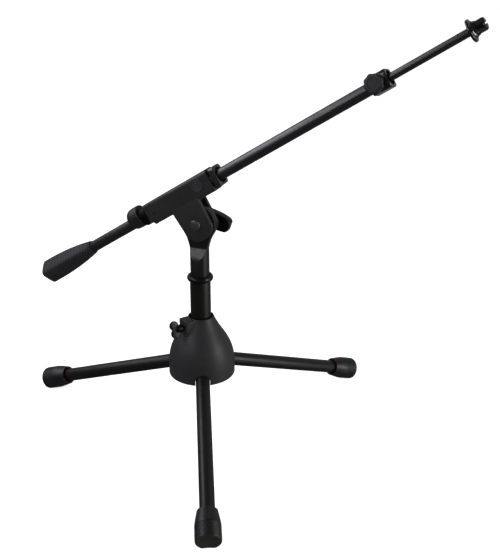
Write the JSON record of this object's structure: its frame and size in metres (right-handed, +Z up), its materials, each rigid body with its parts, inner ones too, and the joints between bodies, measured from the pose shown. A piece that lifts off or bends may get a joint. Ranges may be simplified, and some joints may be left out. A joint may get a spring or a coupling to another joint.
{
  "type": "low boom microphone stand",
  "caption": "Low microphone stand: folding tripod base with a bell-shaped hub, short swivelling column and telescopic boom with counterweight.",
  "frame": {"origin": "on the floor, under the middle of the object's box", "axes": "+Z up; +X along the boom's horizontal direction, towards the microphone end; +Y to the boom's left"},
  "size_m": [0.6469, 0.5063, 0.6108],
  "materials": {
    "cast_black": "satin black powder coat on cast metal",
    "tube_black": "satin black paint on steel tube",
    "gloss_black": "gloss black enamel",
    "steel_black": "black oxide steel",
    "weight_black": "black rubber-coated cast weight",
    "plastic_black": "matte black moulded plastic",
    "rubber_black": "matte black rubber",
    "red_trim": "dark red plastic ring",
    "brass_pad": "turned brass"
  },
  "bodies": {
    "base": {"hub_housing": "cast_black", "column_guide_bush": "plastic_black", "clamp_pad": "brass_pad", "leg_carrier": "cast_black", "carrier_screw_1": "steel_black", "carrier_screw_2": "steel_black", "carrier_screw_3": "steel_black", "leg_pin_left": "steel_black", "leg_pin_front": "steel_black", "leg_pin_right": "steel_black"},
    "leg_left": {"leg_tube_left": "tube_black", "leg_knuckle_left": "cast_black", "foot_left": "rubber_black", "foot_ring_left": "red_trim"},
    "leg_front": {"leg_tube_front": "tube_black", "leg_knuckle_front": "cast_black", "foot_front": "rubber_black", "foot_ring_front": "red_trim"},
    "leg_right": {"leg_tube_right": "tube_black", "leg_knuckle_right": "cast_black", "foot_right": "rubber_black", "foot_ring_right": "red_trim"},
    "hub_screw": {"hub_wing_screw": "steel_black"},
    "column": {"column_tube": "tube_black", "column_end_plug": "plastic_black", "column_collar": "plastic_black"},
    "shank": {"swivel_shank": "cast_black"},
    "head": {"boom_head": "cast_black", "head_badge": "plastic_black", "bush_set_screw": "steel_black", "front_bush": "plastic_black", "rear_bush": "plastic_black", "pivot_bolt": "steel_black", "friction_washer_near": "plastic_black", "friction_washer_far": "plastic_black", "knob_washer": "steel_black"},
    "wing_knob": {"pivot_wing_knob": "plastic_black"},
    "boom": {"boom_outer_tube": "tube_black", "counterweight": "weight_black", "clutch_body": "gloss_black", "clutch_pad": "brass_pad"},
    "clutch_hand_knob": {"clutch_knob": "plastic_black"},
    "inner_boom": {"boom_inner_tube": "tube_black", "inner_guide_sleeve": "plastic_black", "stud_pin": "steel_black", "mic_thread_stud": "gloss_black"},
    "nut": {"lock_nut": "gloss_black"}
  },
  "joints": [
    {"name": "leg_fold_left", "type": "hinge", "parent": "base", "child": "leg_left", "pos_m": [-0.06132, 0.0121, 0.10885], "axis": [-0.0802, -0.9968, 0], "range_deg": [0, 64]},
    {"name": "leg_fold_front", "type": "hinge", "parent": "base", "child": "leg_front", "pos_m": [-0.02568, -0.01248, 0.10885], "axis": [0.9033, 0.4289, 0], "range_deg": [0, 64]},
    {"name": "leg_fold_right", "type": "hinge", "parent": "base", "child": "leg_right", "pos_m": [-0.0222, 0.03068, 0.10885], "axis": [-0.8231, 0.5678, 0], "range_deg": [0, 64]},
    {"name": "hub_screw_turn", "type": "hinge", "parent": "base", "child": "hub_screw", "pos_m": [-0.0364, 0.0101, 0.1717], "axis": [-0.5678, -0.8231, 0], "continuous": true},
    {"name": "column_slide", "type": "slide", "parent": "base", "child": "column", "axis": [0, 0, 1], "range_m": [-0.05, 0.038]},
    {"name": "shank_swivel", "type": "hinge", "parent": "column", "child": "shank", "pos_m": [-0.0364, 0.0101, 0.2464], "axis": [0, 0, 1], "continuous": true},
    {"name": "boom_tilt", "type": "hinge", "parent": "shank", "child": "head", "pos_m": [-0.0364, 0.0101, 0.3228], "axis": [0, -1, 0], "range_deg": [-73, 33]},
    {"name": "pivot_knob_turn", "type": "hinge", "parent": "head", "child": "wing_knob", "pos_m": [-0.0364, 0.0101, 0.3228], "axis": [0, 1, 0], "continuous": true},
    {"name": "boom_slide", "type": "slide", "parent": "head", "child": "boom", "axis": [0.8377, 0, 0.5461], "range_m": [-0.22, 0.078]},
    {"name": "clutch_knob_turn", "type": "hinge", "parent": "boom", "child": "clutch_hand_knob", "pos_m": [0.20237, 0.0101, 0.52859], "axis": [-0.1135, -0.9781, 0.1742], "continuous": true},
    {"name": "inner_boom_slide", "type": "slide", "parent": "boom", "child": "inner_boom", "axis": [0.8377, 0, 0.5461], "range_m": [-0.1, 0.22]},
    {"name": "lock_nut_turn", "type": "hinge", "parent": "inner_boom", "child": "nut", "pos_m": [0.30666, 0.0101, 0.59658], "axis": [0.8377, 0, 0.5461], "continuous": true}
  ]
}
